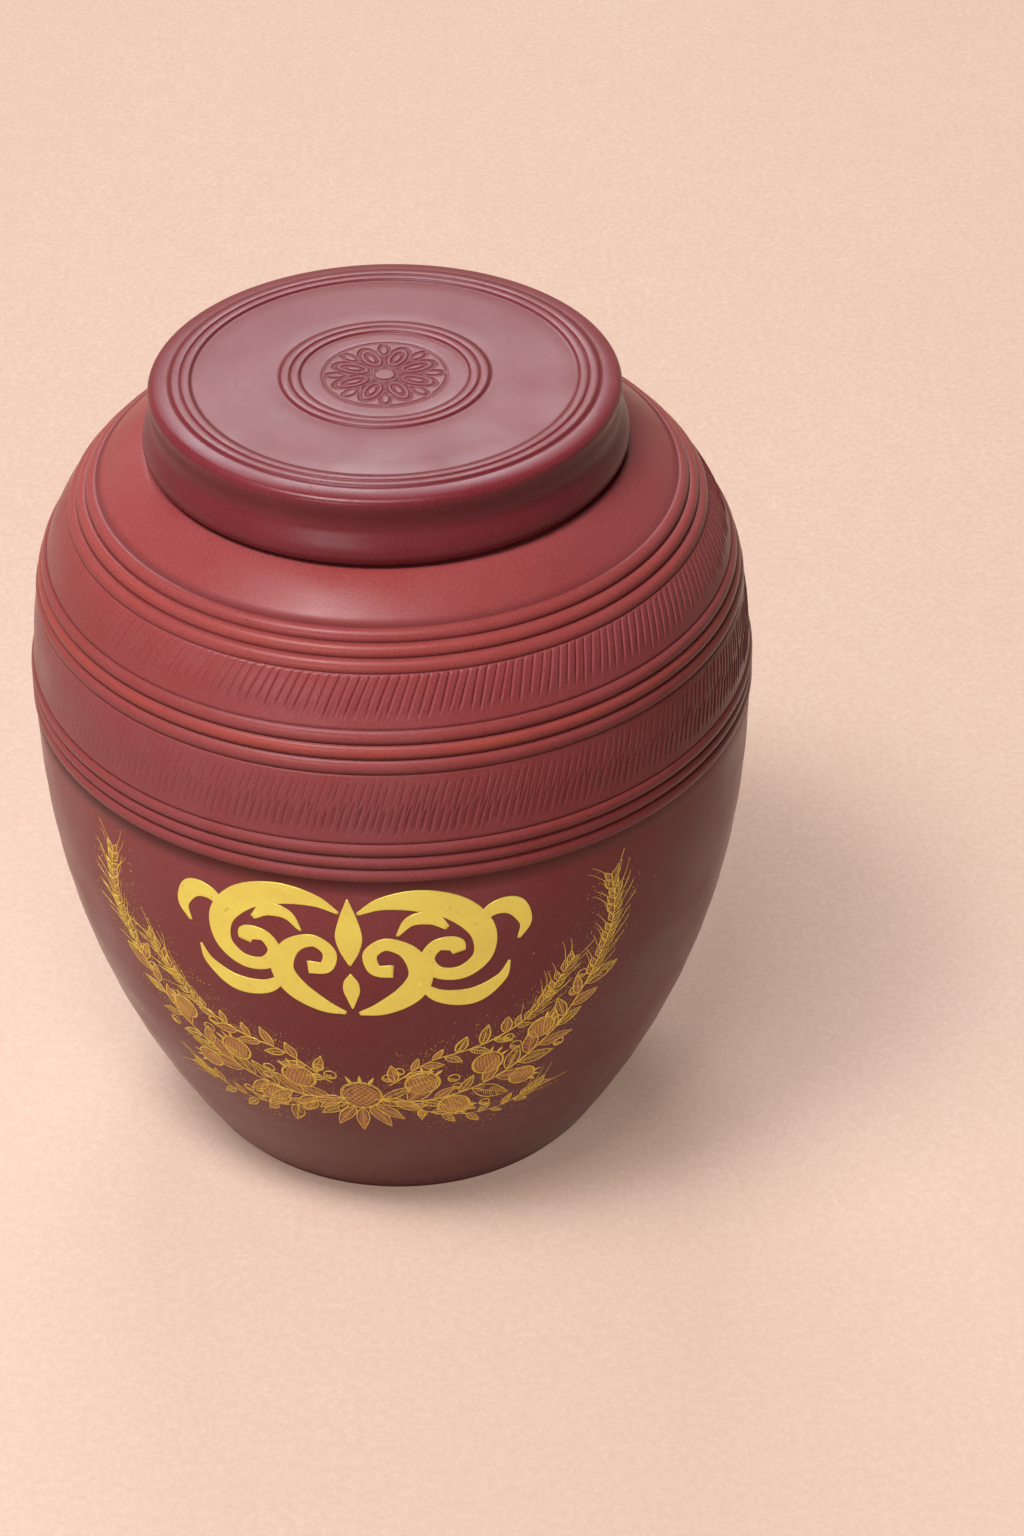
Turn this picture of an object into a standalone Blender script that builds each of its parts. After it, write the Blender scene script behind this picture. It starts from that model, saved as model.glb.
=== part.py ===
"""Stoneware wine jar: a thrown jar, an inner stopper lid with its seal, and an outer cap lid.

Metres, +Z up. The origin is at the middle of the foot, where the jar stands.
Each piece is turned: its section is a list of (radius, height) points, screwed about Z.
"""
import math

import bpy
from mathutils import Vector

# Turning and joining
TURN_STEPS = 48
OUTER_STEP = 0.018
INNER_STEP = 0.025
GAP = 0.0003
WELD = 0.00005

# Jar: foot and belly
FOOT_RADIUS = 0.0995
FOOT_RING_WIDTH = 0.020
FOOT_HEIGHT = 0.006
FOOT_STEP = 0.0012
FOOT_RECESS = 0.003
BODY_WALL = 0.009
FLOOR_THICKNESS = 0.012
FLOOR_FILLET = 0.014
BELLY_RADIUS = 0.165
BELLY_HEIGHT = 0.230
BELLY_FULLNESS = 2.18

# Jar: shoulder, neck and mouth
SHOULDER_HEIGHT = 0.1265
SHOULDER_RISE = 0.545
SHOULDER_REACH = 0.776
SHOULDER_SET = 0.832
NECK_HEIGHT = 0.0155
NECK_WALL = 0.010
NECK_FILLET = 0.0025
RIM_ROUNDING = 0.002
MOUTH_RADIUS = 0.085

# Jar: bands of thrown beads, with the plain or combed clay above each band, down the body
CLAY_ABOVE_BANDS = (0.02545, 0.0239, 0.0339)
BEADS_IN_BAND = 3
BEAD_PITCH = 0.0067
BEAD_RISE = 0.0011

# Where a bead's crest starts and ends, as shares of its pitch
CREST = (0.28, 0.72)

# Outer cap lid
CAP_PLAY = 0.0035
CAP_SKIRT_WALL = 0.0062
CAP_TOP_THICKNESS = 0.008
CAP_LEDGE_CLEARANCE = 0.0009
CAP_EDGE_ROUNDING = 0.0035
CAP_EDGE_SLOPE = 0.0008
CAP_WAIST = 0.0006
CAP_BEAD_SWELL = 0.0036
CAP_BEAD_HEIGHT = 0.0115
CAP_BORE_FILLET = 0.004
LEDGE_MARGIN = 0.0007
RING_PITCH = 0.0044
RING_RISE = 0.0010
OUTER_RINGS_INSET = 0.0145
INNER_RINGS_RADIUS = 0.0419

# Inner stopper lid
PLUG_PLAY = 0.0015
PLUG_ROUNDING = 0.004
FLANGE_THICKNESS = 0.006
FLANGE_MARGIN = 0.002
FLANGE_ROUNDING = 0.0012
DISH_DEPTH = 0.023
DISH_WALL = 0.0075
DISH_FLOOR = 0.007
DISH_FILLET = 0.005
KNOB_RADIUS = 0.014
KNOB_STEM_RADIUS = 0.010
KNOB_DROP = 0.004
KNOB_DOME = 0.001
KNOB_ROUNDING = 0.006

# Seal under the stopper's flange
SEAL_THICKNESS = 0.003
SEAL_MARGIN = 0.001

# Radii that follow, from the mouth outwards
NECK_RADIUS = MOUTH_RADIUS + NECK_WALL
CAP_BORE_RADIUS = NECK_RADIUS + CAP_PLAY
CAP_RADIUS = CAP_BORE_RADIUS + CAP_SKIRT_WALL
LEDGE_RADIUS = CAP_RADIUS + CAP_BEAD_SWELL + LEDGE_MARGIN
FLANGE_RADIUS = NECK_RADIUS - FLANGE_MARGIN
PLUG_RADIUS = MOUTH_RADIUS - PLUG_PLAY

# Heights that follow, from the ledge round the neck upwards
LEDGE_HEIGHT = BELLY_HEIGHT + SHOULDER_HEIGHT
RIM_HEIGHT = LEDGE_HEIGHT + NECK_HEIGHT
SEAL_BOTTOM = RIM_HEIGHT + GAP
SEAL_TOP = SEAL_BOTTOM + SEAL_THICKNESS
FLANGE_BOTTOM = SEAL_TOP + GAP
FLANGE_TOP = FLANGE_BOTTOM + FLANGE_THICKNESS
CAP_UNDERSIDE = FLANGE_TOP + GAP
CAP_TOP = CAP_UNDERSIDE + CAP_TOP_THICKNESS
CAP_BOTTOM = LEDGE_HEIGHT + CAP_LEDGE_CLEARANCE

# Finishes: linear colour and roughness
RED_CLAY = ((0.150, 0.032, 0.024, 1.0), 0.55)
MAUVE_CLAY = ((0.390, 0.175, 0.190, 1.0), 0.60)
BUFF_CLAY = ((0.330, 0.160, 0.120, 1.0), 0.70)
SILICONE = ((0.620, 0.600, 0.560, 1.0), 0.45)


def oval(centre, half_width, half_height, start, end, count):
    """Points of an oval's arc in the section, from one angle to another, in degrees."""
    points = []
    for index in range(count + 1):
        angle = math.radians(start + (end - start) * index / count)
        radius = centre[0] + half_width * math.cos(angle)
        points.append((radius, centre[1] + half_height * math.sin(angle)))
    return points


def arc(centre, radius, start, end, count):
    """Points of a round arc in the section, from one angle to another, in degrees."""
    return oval(centre, radius, radius, start, end, count)


def shoulder_point(share):
    """Point of the shoulder's curve: share 0 at the ledge's edge, 1 at the widest part of the belly."""
    reach = BELLY_RADIUS - LEDGE_RADIUS
    handles = (
        Vector((LEDGE_RADIUS, LEDGE_HEIGHT)),
        Vector((LEDGE_RADIUS + SHOULDER_REACH * reach, BELLY_HEIGHT + SHOULDER_SET * SHOULDER_HEIGHT)),
        Vector((BELLY_RADIUS, BELLY_HEIGHT + SHOULDER_RISE * SHOULDER_HEIGHT)),
        Vector((BELLY_RADIUS, BELLY_HEIGHT)),
    )
    rest = 1.0 - share
    weights = (rest ** 3, 3 * rest ** 2 * share, 3 * rest * share ** 2, share ** 3)
    return sum((handle * weight for handle, weight in zip(handles, weights)), Vector((0.0, 0.0)))


def belly_point(height):
    """Point of the belly below its widest part, which swells from the foot by a power curve."""
    swell = 1.0 - (1.0 - height / BELLY_HEIGHT) ** BELLY_FULLNESS
    return Vector((FOOT_RADIUS + (BELLY_RADIUS - FOOT_RADIUS) * swell, height))


class Outline:
    """The body's plain outer line, walked by the distance down from the ledge's edge."""

    FINENESS = 200

    def __init__(self):
        shares = [index / self.FINENESS for index in range(self.FINENESS + 1)]
        drop = BELLY_HEIGHT - FOOT_HEIGHT
        self.points = [shoulder_point(share) for share in shares]
        self.points += [belly_point(BELLY_HEIGHT - drop * share) for share in shares[1:]]
        self.distances = [0.0]
        for before, after in zip(self.points, self.points[1:]):
            self.distances.append(self.distances[-1] + (after - before).length)
        self.length = self.distances[-1]

    def at(self, distance, lift=0.0):
        """Point at a distance down the line, lifted along the outward normal."""
        index = 1
        while self.distances[index] < distance and index < len(self.points) - 1:
            index += 1
        before = self.points[index - 1]
        run = self.points[index] - before
        share = (distance - self.distances[index - 1]) / run.length
        normal = Vector((-run.y, run.x)).normalized()
        return tuple(before + run * share + normal * lift)

    def stretch(self, start, end, step, lift=0.0):
        """Evenly spaced points from one distance towards another, without the last one."""
        count = max(1, math.ceil((end - start) / step))
        return [self.at(start + (end - start) * index / count, lift) for index in range(count)]

    def bead_band(self, start):
        """A band's grooves and crests. The last bead's lower groove is left to what follows."""
        points = []
        for bead in range(BEADS_IN_BAND):
            groove = start + bead * BEAD_PITCH
            points.append(self.at(groove))
            points += [self.at(groove + share * BEAD_PITCH, BEAD_RISE) for share in CREST]
        return points


def jar_inside(outline):
    """The section from the middle of the inner floor up to the rim's inner edge."""
    floor = FOOT_RECESS + FLOOR_THICKNESS
    wall = outline.stretch(0.0, outline.length, INNER_STEP, -BODY_WALL)
    wall = [point for point in reversed(wall) if point[1] > floor + FLOOR_FILLET]
    corner = (wall[0][0] - FLOOR_FILLET, floor + FLOOR_FILLET)
    throat = (MOUTH_RADIUS + BODY_WALL, wall[-1][1] + BODY_WALL)
    points = [(0.0, floor)]
    points += arc(corner, FLOOR_FILLET, -90, -20, 3)
    points += wall
    points += arc(throat, BODY_WALL, 270, 180, 3)
    return points


def jar_neck():
    """The section over the rim and down the neck to the ledge."""
    rim = RIM_HEIGHT - RIM_ROUNDING
    points = arc((MOUTH_RADIUS + RIM_ROUNDING, rim), RIM_ROUNDING, 180, 90, 2)
    points += arc((NECK_RADIUS - RIM_ROUNDING, rim), RIM_ROUNDING, 90, 0, 2)
    points += arc((NECK_RADIUS + NECK_FILLET, LEDGE_HEIGHT + NECK_FILLET), NECK_FILLET, 180, 270, 2)
    return points


def jar_outside(outline):
    """The section down the shoulder, the three bands and the belly."""
    points = []
    distance = 0.0
    for clay_above in CLAY_ABOVE_BANDS:
        points += outline.stretch(distance, distance + clay_above, OUTER_STEP)
        points += outline.bead_band(distance + clay_above)
        distance += clay_above + BEADS_IN_BAND * BEAD_PITCH
    points += outline.stretch(distance, outline.length, OUTER_STEP)
    points.append(outline.at(outline.length))
    return points


def jar_foot():
    """The section of the foot: a small step in, the ring that it stands on, and the recess."""
    ring_inside = FOOT_RADIUS - FOOT_RING_WIDTH
    return [
        (belly_point(FOOT_HEIGHT).x - FOOT_STEP, FOOT_HEIGHT - FOOT_STEP),
        (FOOT_RADIUS, FOOT_STEP),
        (FOOT_RADIUS - FOOT_STEP, 0.0),
        (ring_inside, 0.0),
        (ring_inside - FOOT_RECESS, FOOT_RECESS),
        (0.0, FOOT_RECESS),
    ]


def jar_section():
    """The whole jar's section, up the inside and down the outside."""
    outline = Outline()
    return jar_inside(outline) + jar_neck() + jar_outside(outline) + jar_foot()


def ring_pair(middle):
    """Two raised rings side by side on the cap's top, with the groove between them at a radius."""
    points = []
    for inner_edge in (middle - RING_PITCH, middle):
        points.append((inner_edge, CAP_TOP))
        points += [(inner_edge + share * RING_PITCH, CAP_TOP + RING_RISE) for share in CREST]
    points.append((middle + RING_PITCH, CAP_TOP))
    return points


def cap_section():
    """The outer cap's section: ringed top, rounded edge, waisted skirt, bottom bead and bore."""
    edge_height = CAP_TOP - CAP_EDGE_SLOPE - CAP_EDGE_ROUNDING
    bead_top = CAP_BOTTOM + CAP_BEAD_HEIGHT
    bead_half = CAP_BEAD_HEIGHT / 2
    fillet = (CAP_BORE_RADIUS - CAP_BORE_FILLET, CAP_UNDERSIDE - CAP_BORE_FILLET)
    points = [(0.0, CAP_TOP)]
    points += ring_pair(INNER_RINGS_RADIUS)
    points += ring_pair(CAP_RADIUS - OUTER_RINGS_INSET)
    points += arc((CAP_RADIUS - CAP_EDGE_ROUNDING, edge_height), CAP_EDGE_ROUNDING, 90, 0, 3)
    points.append((CAP_RADIUS - CAP_WAIST, (edge_height + bead_top) / 2))
    points += oval((CAP_RADIUS, CAP_BOTTOM + bead_half), CAP_BEAD_SWELL, bead_half, 90, -90, 6)
    points.append((CAP_BORE_RADIUS, CAP_BOTTOM))
    points += arc(fillet, CAP_BORE_FILLET, 0, 90, 2)
    points.append((0.0, CAP_UNDERSIDE))
    return points


def stopper_section():
    """The inner lid's section: knob, dish, flange, plug and underside."""
    floor = FLANGE_TOP - DISH_DEPTH
    bottom = floor - DISH_FLOOR
    wall = PLUG_RADIUS - DISH_WALL
    knob_height = DISH_DEPTH - KNOB_DROP
    knob_top = floor + knob_height
    head = min(KNOB_ROUNDING, knob_height / 3)
    fillet = min(DISH_FILLET, knob_height / 3)
    edge = FLANGE_ROUNDING
    points = [(0.0, knob_top)]
    points += arc((KNOB_RADIUS - head, knob_top - KNOB_DOME - head), head, 80, -45, 5)
    points += arc((KNOB_STEM_RADIUS + fillet, floor + fillet), fillet, 180, 270, 2)
    points += arc((wall - fillet, floor + fillet), fillet, 270, 360, 3)
    points += [(wall, FLANGE_TOP - edge), (wall + edge, FLANGE_TOP)]
    points += [(FLANGE_RADIUS - edge, FLANGE_TOP), (FLANGE_RADIUS, FLANGE_TOP - edge)]
    points += [(FLANGE_RADIUS, FLANGE_BOTTOM + edge), (FLANGE_RADIUS - edge, FLANGE_BOTTOM)]
    points.append((PLUG_RADIUS, FLANGE_BOTTOM))
    points += arc((PLUG_RADIUS - PLUG_ROUNDING, bottom + PLUG_ROUNDING), PLUG_ROUNDING, 0, -90, 3)
    points.append((0.0, bottom))
    return points


def seal_section():
    """The seal's section: a flat ring round the plug, between the rim and the flange."""
    inside = PLUG_RADIUS + GAP
    outside = FLANGE_RADIUS - SEAL_MARGIN
    return [(outside, SEAL_TOP), (outside, SEAL_BOTTOM), (inside, SEAL_BOTTOM), (inside, SEAL_TOP)]


def finish(name, colour, roughness):
    """A plain material of one colour and roughness."""
    material = bpy.data.materials.new(name)
    material.use_nodes = True
    material.diffuse_color = colour
    shader = material.node_tree.nodes["Principled BSDF"]
    shader.inputs["Base Color"].default_value = colour
    shader.inputs["Roughness"].default_value = roughness
    shader.inputs["Metallic"].default_value = 0.0
    return material


def turned_piece(name, section, material, collection, parent):
    """A piece turned on the wheel. A section that starts off the axis is closed into a ring."""
    edges = [(index, index + 1) for index in range(len(section) - 1)]
    if section[0][0] > 0.0:
        edges.append((len(section) - 1, 0))
    mesh = bpy.data.meshes.new(name)
    mesh.from_pydata([(radius, 0.0, height) for radius, height in section], edges, [])
    mesh.materials.append(material)
    piece = bpy.data.objects.new(name, mesh)
    collection.objects.link(piece)
    piece.parent = parent
    turn = piece.modifiers.new("Turn", "SCREW")
    turn.axis = "Z"
    turn.steps = TURN_STEPS
    turn.render_steps = TURN_STEPS
    turn.use_merge_vertices = True
    turn.merge_threshold = WELD
    turn.use_smooth_shade = True
    return piece


def build():
    """Clears the scene and makes the jar's four pieces."""
    for leftover in list(bpy.data.objects):
        bpy.data.objects.remove(leftover, do_unlink=True)
    collection = bpy.data.collections.new("stoneware_wine_jar")
    bpy.context.scene.collection.children.link(collection)
    axis = bpy.data.objects.new("jar_axis", None)
    collection.objects.link(axis)
    pieces = (
        ("jar_body", jar_section(), finish("red_clay", *RED_CLAY)),
        ("inner_lid_seal", seal_section(), finish("silicone", *SILICONE)),
        ("inner_lid", stopper_section(), finish("buff_clay", *BUFF_CLAY)),
        ("outer_lid", cap_section(), finish("mauve_clay", *MAUVE_CLAY)),
    )
    for name, section, material in pieces:
        turned_piece(name, section, material, collection, axis)


build()
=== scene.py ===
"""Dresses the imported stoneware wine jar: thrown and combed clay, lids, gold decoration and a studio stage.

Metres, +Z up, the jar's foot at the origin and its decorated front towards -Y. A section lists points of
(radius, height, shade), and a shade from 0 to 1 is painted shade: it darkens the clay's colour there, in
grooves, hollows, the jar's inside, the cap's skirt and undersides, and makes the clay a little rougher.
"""
import math
import random

import bpy
import numpy as np
from mathutils import Matrix, Vector


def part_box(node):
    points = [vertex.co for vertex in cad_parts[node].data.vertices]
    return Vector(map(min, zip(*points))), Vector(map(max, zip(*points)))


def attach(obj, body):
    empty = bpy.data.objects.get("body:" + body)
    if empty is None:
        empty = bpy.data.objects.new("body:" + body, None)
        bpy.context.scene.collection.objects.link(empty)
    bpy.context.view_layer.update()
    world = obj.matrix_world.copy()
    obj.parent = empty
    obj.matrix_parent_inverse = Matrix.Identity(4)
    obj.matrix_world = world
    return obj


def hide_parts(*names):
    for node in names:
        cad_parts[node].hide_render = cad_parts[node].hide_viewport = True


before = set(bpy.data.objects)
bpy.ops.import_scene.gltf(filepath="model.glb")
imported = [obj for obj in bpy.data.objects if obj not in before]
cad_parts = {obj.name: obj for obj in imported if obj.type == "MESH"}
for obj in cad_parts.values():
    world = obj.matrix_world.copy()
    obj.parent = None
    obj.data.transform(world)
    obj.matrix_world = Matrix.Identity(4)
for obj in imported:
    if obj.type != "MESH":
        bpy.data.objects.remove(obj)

bl_info = {
    "name": "Stoneware Wine Jar",
    "version": (1, 0, 0),
    "blender": (4, 5, 0),
    "location": "3D View > Sidebar > Wine Jar",
    "description": "Makes a thrown stoneware wine jar with two lids and gold decoration",
    "category": "Add Mesh",
}

STOPPER_LOW, STOPPER_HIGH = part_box("inner_lid")
SEAL_LOW, SEAL_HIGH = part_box("inner_lid_seal")
MILLIMETRE = 0.001
TURN = 2.0 * math.pi

# Points in a ring of plain clay, of the cap's rosette, and of the stopper, the seal and the paper
PLAIN_COLUMNS = 144
ROSETTE_COLUMNS = 288
FEW_COLUMNS = 96

# Outline of the body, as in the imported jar
SHOULDER_RISE = 0.545
SHOULDER_REACH = 0.776
SHOULDER_SET = 0.832
BELLY_FULLNESS = 2.18
FOOT_HEIGHT = 0.006
FOOT_STEP = 0.0012
FOOT_RING_WIDTH = 0.020
FOOT_RECESS = 0.003
BODY_WALL = 0.009
FLOOR_TOP = 0.015
FLOOR_FILLET = 0.014
NECK_HEIGHT = 0.0155
NECK_FILLET = 0.0025
MOUTH_RADIUS = 0.085
NECK_RADIUS = 0.095
RIM_ROUNDING = 0.003

# Distances between rings of plain clay, where the inner wall ends under the rim, and the ripples inside
INSIDE_STEP = 0.0065
INSIDE_END = 0.004
SHOULDER_STEP = 0.0045
BELLY_STEP = 0.0085
LEDGE_EDGE = 0.0008
RIPPLE_HEIGHT = 0.00035
RIPPLE_LENGTH = 0.026

# Bands of beads, and the clay above each band, down the body
CLAY_ABOVE_BANDS = (0.02545, 0.0239, 0.0339)
BEADS_IN_BAND = 3
BEAD_PITCH = 0.0067
BEAD_SHAPE = np.array((0.0, 0.06, 0.16, 0.33, 0.55, 0.76, 0.9, 0.97))
OUTER_GROOVE = 0.45

# Warmth of each bead's colour, band by band: 0 is the body's own clay
BEAD_WARMTH = ((0.15, 0.55, 0.35), (0.1, 1.0, 0.2), (0.15, 0.1, 0.1))

# Cap
CAP_RADIUS = 0.1047
CAP_BORE_RADIUS = 0.0985
CAP_TOP = 0.3899
CAP_UNDERSIDE = 0.3819
CAP_BOTTOM = 0.3574
CAP_EDGE_ROUNDING = 0.0035
CAP_EDGE_SLOPE = 0.0008
CAP_WAIST = 0.0008
CAP_BEAD_SWELL = 0.0036
CAP_CREST_HEIGHT = 0.0054
CAP_LIP_ROUNDING = 0.0048
CAP_BORE_FILLET = 0.004
CAP_BORE_CHAMFER = 0.001
RING_PITCH = 0.0044
RING_SHAPE = (0.0, 0.035, 0.09, 0.18, 0.5, 0.82, 0.91, 0.965)
RING_GROOVE = 0.00022
INNER_RINGS = 0.0419
OUTER_RINGS = 0.0902

# The cap's rosette: each petal line as (middle, length, width, groove), each round line as (radius, groove, depth)
ROSETTE_RADIUS = 0.029
ROSETTE_STEP = 0.0005
PETALS = 8
PETAL_LINES = ((0.0155, 0.0085, 0.0046, 0.0006), (0.0150, 0.0046, 0.0019, 0.0005))
LEAF_LINE = (0.0215, 0.0045, 0.0022, 0.0005)
ROUND_LINES = ((0.0052, 0.0006, 1.0), (0.0275, 0.0005, 0.8))

# Stopper and seal
PLUG_RADIUS = 0.0835
PLUG_ROUNDING = 0.004
FLANGE_GAP = 0.0003
FLANGE_ROUNDING = 0.0015
FLANGE_UNDER_ROUNDING = 0.0012
DISH_RADIUS = 0.076
DISH_DEPTH = 0.023
DISH_FILLET = 0.005
KNOB_RADIUS = 0.014
KNOB_ROUNDING = 0.006
KNOB_DROP = 0.004
STEM_RADIUS = 0.010
SEAL_INNER_RADIUS = 0.0838
SEAL_ROUNDING = 0.0006


def length_property(name, description, length):
    """A length that can be set."""
    return bpy.props.FloatProperty(name=name, description=description, default=length, unit="LENGTH")


def power_property(name, description, power):
    """A lamp's power that can be set."""
    return bpy.props.FloatProperty(name=name, description=description, default=power, min=0.0, unit="POWER")


def colour_property(name, description, red, green, blue):
    """A colour that can be set, with its default as linear red, green and blue."""
    return bpy.props.FloatVectorProperty(
        name=name, description=description, default=(red, green, blue), subtype="COLOR", size=3, min=0.0, max=1.0
    )


class JarSizes(bpy.types.PropertyGroup):
    """Sizes of the jar that can be set."""

    foot_radius: length_property("Foot radius", "Outer radius of the foot", 0.0995)
    belly_radius: length_property("Belly radius", "Radius of the widest part", 0.165)
    belly_height: length_property("Belly height", "Height of the widest part", 0.230)
    ledge_radius: length_property("Ledge radius", "Radius where the shoulder starts", 0.109)
    ledge_height: length_property("Ledge height", "Height where the shoulder starts", 0.3565)
    bead_rise: length_property("Bead rise", "Height of a bead over the clay", 0.00115)
    groove_depth: length_property("Groove depth", "Depth of the groove between two beads", 0.0009)
    stroke_depth: length_property("Stroke depth", "Depth of the combed strokes", 0.00062)
    ring_rise: length_property("Ring rise", "Height of the rings on the cap", 0.00055)
    emblem_depth: length_property("Rosette depth", "Depth of the rosette pressed into the cap", 0.0005)
    gilding_rise: length_property("Gilding rise", "Thickness of the gold paint", 0.00014)


class JarColours(bpy.types.PropertyGroup):
    """Colours of the clays, the gold and the studio."""

    body_clay: colour_property("Body clay", "Fired clay of the body", 0.318, 0.053, 0.050)
    bloom_clay: colour_property("Clay bloom", "Mauve bloom over the body", 0.362, 0.096, 0.104)
    bead_clay: colour_property("Bead clay", "Redder clay of some beads", 0.425, 0.076, 0.056)
    cap_clay: colour_property("Cap clay", "Mauve clay of the cap", 0.180, 0.0215, 0.029)
    cap_bloom: colour_property("Cap bloom", "Mauve bloom over the cap", 0.255, 0.040, 0.050)
    stopper_clay: colour_property("Stopper clay", "Buff clay of the stopper", 0.330, 0.160, 0.120)
    seal: colour_property("Seal", "Silicone of the seal", 0.620, 0.600, 0.560)
    bright_gold: colour_property("Bright gold", "Bold gold scrolls", 1.000, 0.930, 0.190)
    line_gold: colour_property("Line gold", "Fine gold lines", 0.920, 0.700, 0.140)
    paper: colour_property("Backdrop paper", "Pale paper under the jar", 1.000, 0.800, 0.695)


def sizes():
    """The sizes set in the scene."""
    return bpy.context.scene.wine_jar_sizes


def colours():
    """The colours set in the scene."""
    return bpy.context.scene.wine_jar_colours


def ease(value, start, end):
    """Smooth step from 0 at start to 1 at end, for numbers and arrays."""
    share = np.clip((value - start) / (end - start), 0.0, 1.0)
    return share * share * (3.0 - 2.0 * share)


def arc(centre, radius, start, end, count, painted_shade=0.0):
    """A section's round arc from one angle to another, in degrees."""
    angles = np.radians(np.linspace(start, end, count + 1))
    return [(centre[0] + radius * math.cos(a), centre[1] + radius * math.sin(a), painted_shade) for a in angles]


def corner(radius, height, rounding, start, end, count, painted_shade=0.0):
    """A section's corner rounded by an arc, whose angles say on which side of the corner its centre lies."""
    middle = math.radians((start + end) / 2)
    centre = (radius - math.copysign(rounding, math.cos(middle)), height - math.copysign(rounding, math.sin(middle)))
    return arc(centre, rounding, start, end, count, painted_shade)


def flat(radii, height, painted_shade=0.0):
    """A section's flat run."""
    return [(radius, height, painted_shade) for radius in radii]


def belly_reach(shape, height):
    """Radius of the body's outline at a height under its widest part."""
    swell = 1.0 - (1.0 - height / shape.belly_height) ** BELLY_FULLNESS
    return shape.foot_radius + (shape.belly_radius - shape.foot_radius) * swell


class BodyLine:
    """The body's plain outer line, walked by the distance down from the ledge's edge."""

    FINENESS = 400
    WAVE_HEIGHT = 0.00012
    WAVE_LENGTH = 0.024

    def __init__(self, shape):
        reach = shape.belly_radius - shape.ledge_radius
        rise = shape.ledge_height - shape.belly_height
        handles = np.array((
            (shape.ledge_radius, shape.ledge_height),
            (shape.ledge_radius + SHOULDER_REACH * reach, shape.belly_height + SHOULDER_SET * rise),
            (shape.belly_radius, shape.belly_height + SHOULDER_RISE * rise),
            (shape.belly_radius, shape.belly_height),
        ))
        share = np.linspace(0.0, 1.0, self.FINENESS + 1)[:, None]
        rest = 1.0 - share
        weights = np.hstack((rest ** 3, 3 * rest ** 2 * share, 3 * rest * share ** 2, share ** 3))
        heights = np.linspace(shape.belly_height, FOOT_HEIGHT, self.FINENESS + 1)[1:]
        points = np.vstack((weights @ handles, np.column_stack((belly_reach(shape, heights), heights))))
        steps = np.linalg.norm(np.diff(points, axis=0), axis=1)
        runs = np.gradient(points, axis=0)
        runs /= np.linalg.norm(runs, axis=1)[:, None]
        self.tracks = np.column_stack((points, -runs[:, 1], runs[:, 0])).T
        self.distances = np.concatenate(((0.0,), np.cumsum(steps)))
        self.length = self.distances[-1]

    def at(self, distance, lift=0.0):
        """Radius and height at a distance down the line, lifted along the outward normal, with the hand's waves."""
        lift = lift + self.WAVE_HEIGHT * np.sin(distance * TURN / self.WAVE_LENGTH)
        radius, height, out, up = (np.interp(distance, self.distances, track) for track in self.tracks)
        return radius + out * lift, height + up * lift


def stand(name, points, faces, material, marks=None):
    """Puts a smooth mesh of points and faces into the scene as an object, with marks at its points."""
    mesh = bpy.data.meshes.new(name)
    mesh.from_pydata(points, [], faces)
    mesh.materials.append(material)
    mesh.polygons.foreach_set("use_smooth", np.ones(len(mesh.polygons), dtype=bool))
    for mark, values in (marks or {}).items():
        layer = mesh.attributes.new(mark, "FLOAT", "POINT")
        layer.data.foreach_set("value", values.astype(np.float32))
    mesh.update()
    piece = bpy.data.objects.new(name, mesh)
    bpy.context.scene.collection.objects.link(piece)
    return piece


class Thrown:
    """A closed mesh thrown ring by ring round the jar's axis, with marks that its clay's finish reads."""

    def __init__(self):
        self.rows = []
        self.faces = []
        self.count = 0
        self.last = None

    def ring(self, radius, height, columns=PLAIN_COLUMNS, twist=0.0, angles=None, painted_shade=0.0, warmth=0.0):
        """A ring of points with their marks, joined to the ring or the pole before it."""
        if angles is None:
            angles = np.arange(columns) * TURN / columns + twist
        place = (radius * np.cos(angles), radius * np.sin(angles), height)
        self.rows.append(np.column_stack(np.broadcast_arrays(*place, painted_shade, warmth)))
        if self.last:
            self.join(*self.last, self.count, len(angles))
        self.last = (self.count, len(angles))
        self.count += len(angles)

    def pole(self, height, painted_shade=0.0):
        """A point on the axis, which starts or ends the piece."""
        self.ring(0.0, height, 1, painted_shade=painted_shade)

    def rings(self, section, columns=PLAIN_COLUMNS):
        """A ring for each point of a section."""
        for radius, height, painted_shade in section:
            self.ring(radius, height, columns, painted_shade=painted_shade)

    def join(self, above, above_columns, below, below_columns):
        """Faces between two rings. Where one has more points, each of its runs meets one plain edge."""
        if above_columns == 1:
            self.faces += [(above, below + j, below + (j + 1) % below_columns) for j in range(below_columns)]
            return
        if below_columns == 1:
            self.faces += [(above + j, below, above + (j + 1) % above_columns) for j in range(above_columns)]
            return
        shared = min(above_columns, below_columns)
        up, down = above_columns // shared, below_columns // shared
        for j in range(shared):
            upper = [above + (j * up + k) % above_columns for k in range(up, -1, -1)]
            lower = [below + (j * down + k) % below_columns for k in range(down + 1)]
            self.faces.append(tuple(upper + lower))

    def close(self):
        """Joins the last ring to the first, for a ring-shaped piece."""
        start, columns = self.last
        self.join(start, columns, 0, columns)

    def piece(self, name, material):
        """The finished mesh as an object."""
        table = np.vstack(self.rows)
        marks = {"painted_shade": table[:, 3], "warmth": table[:, 4]}
        return stand(name, table[:, :3].tolist(), self.faces, material, marks)


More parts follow.
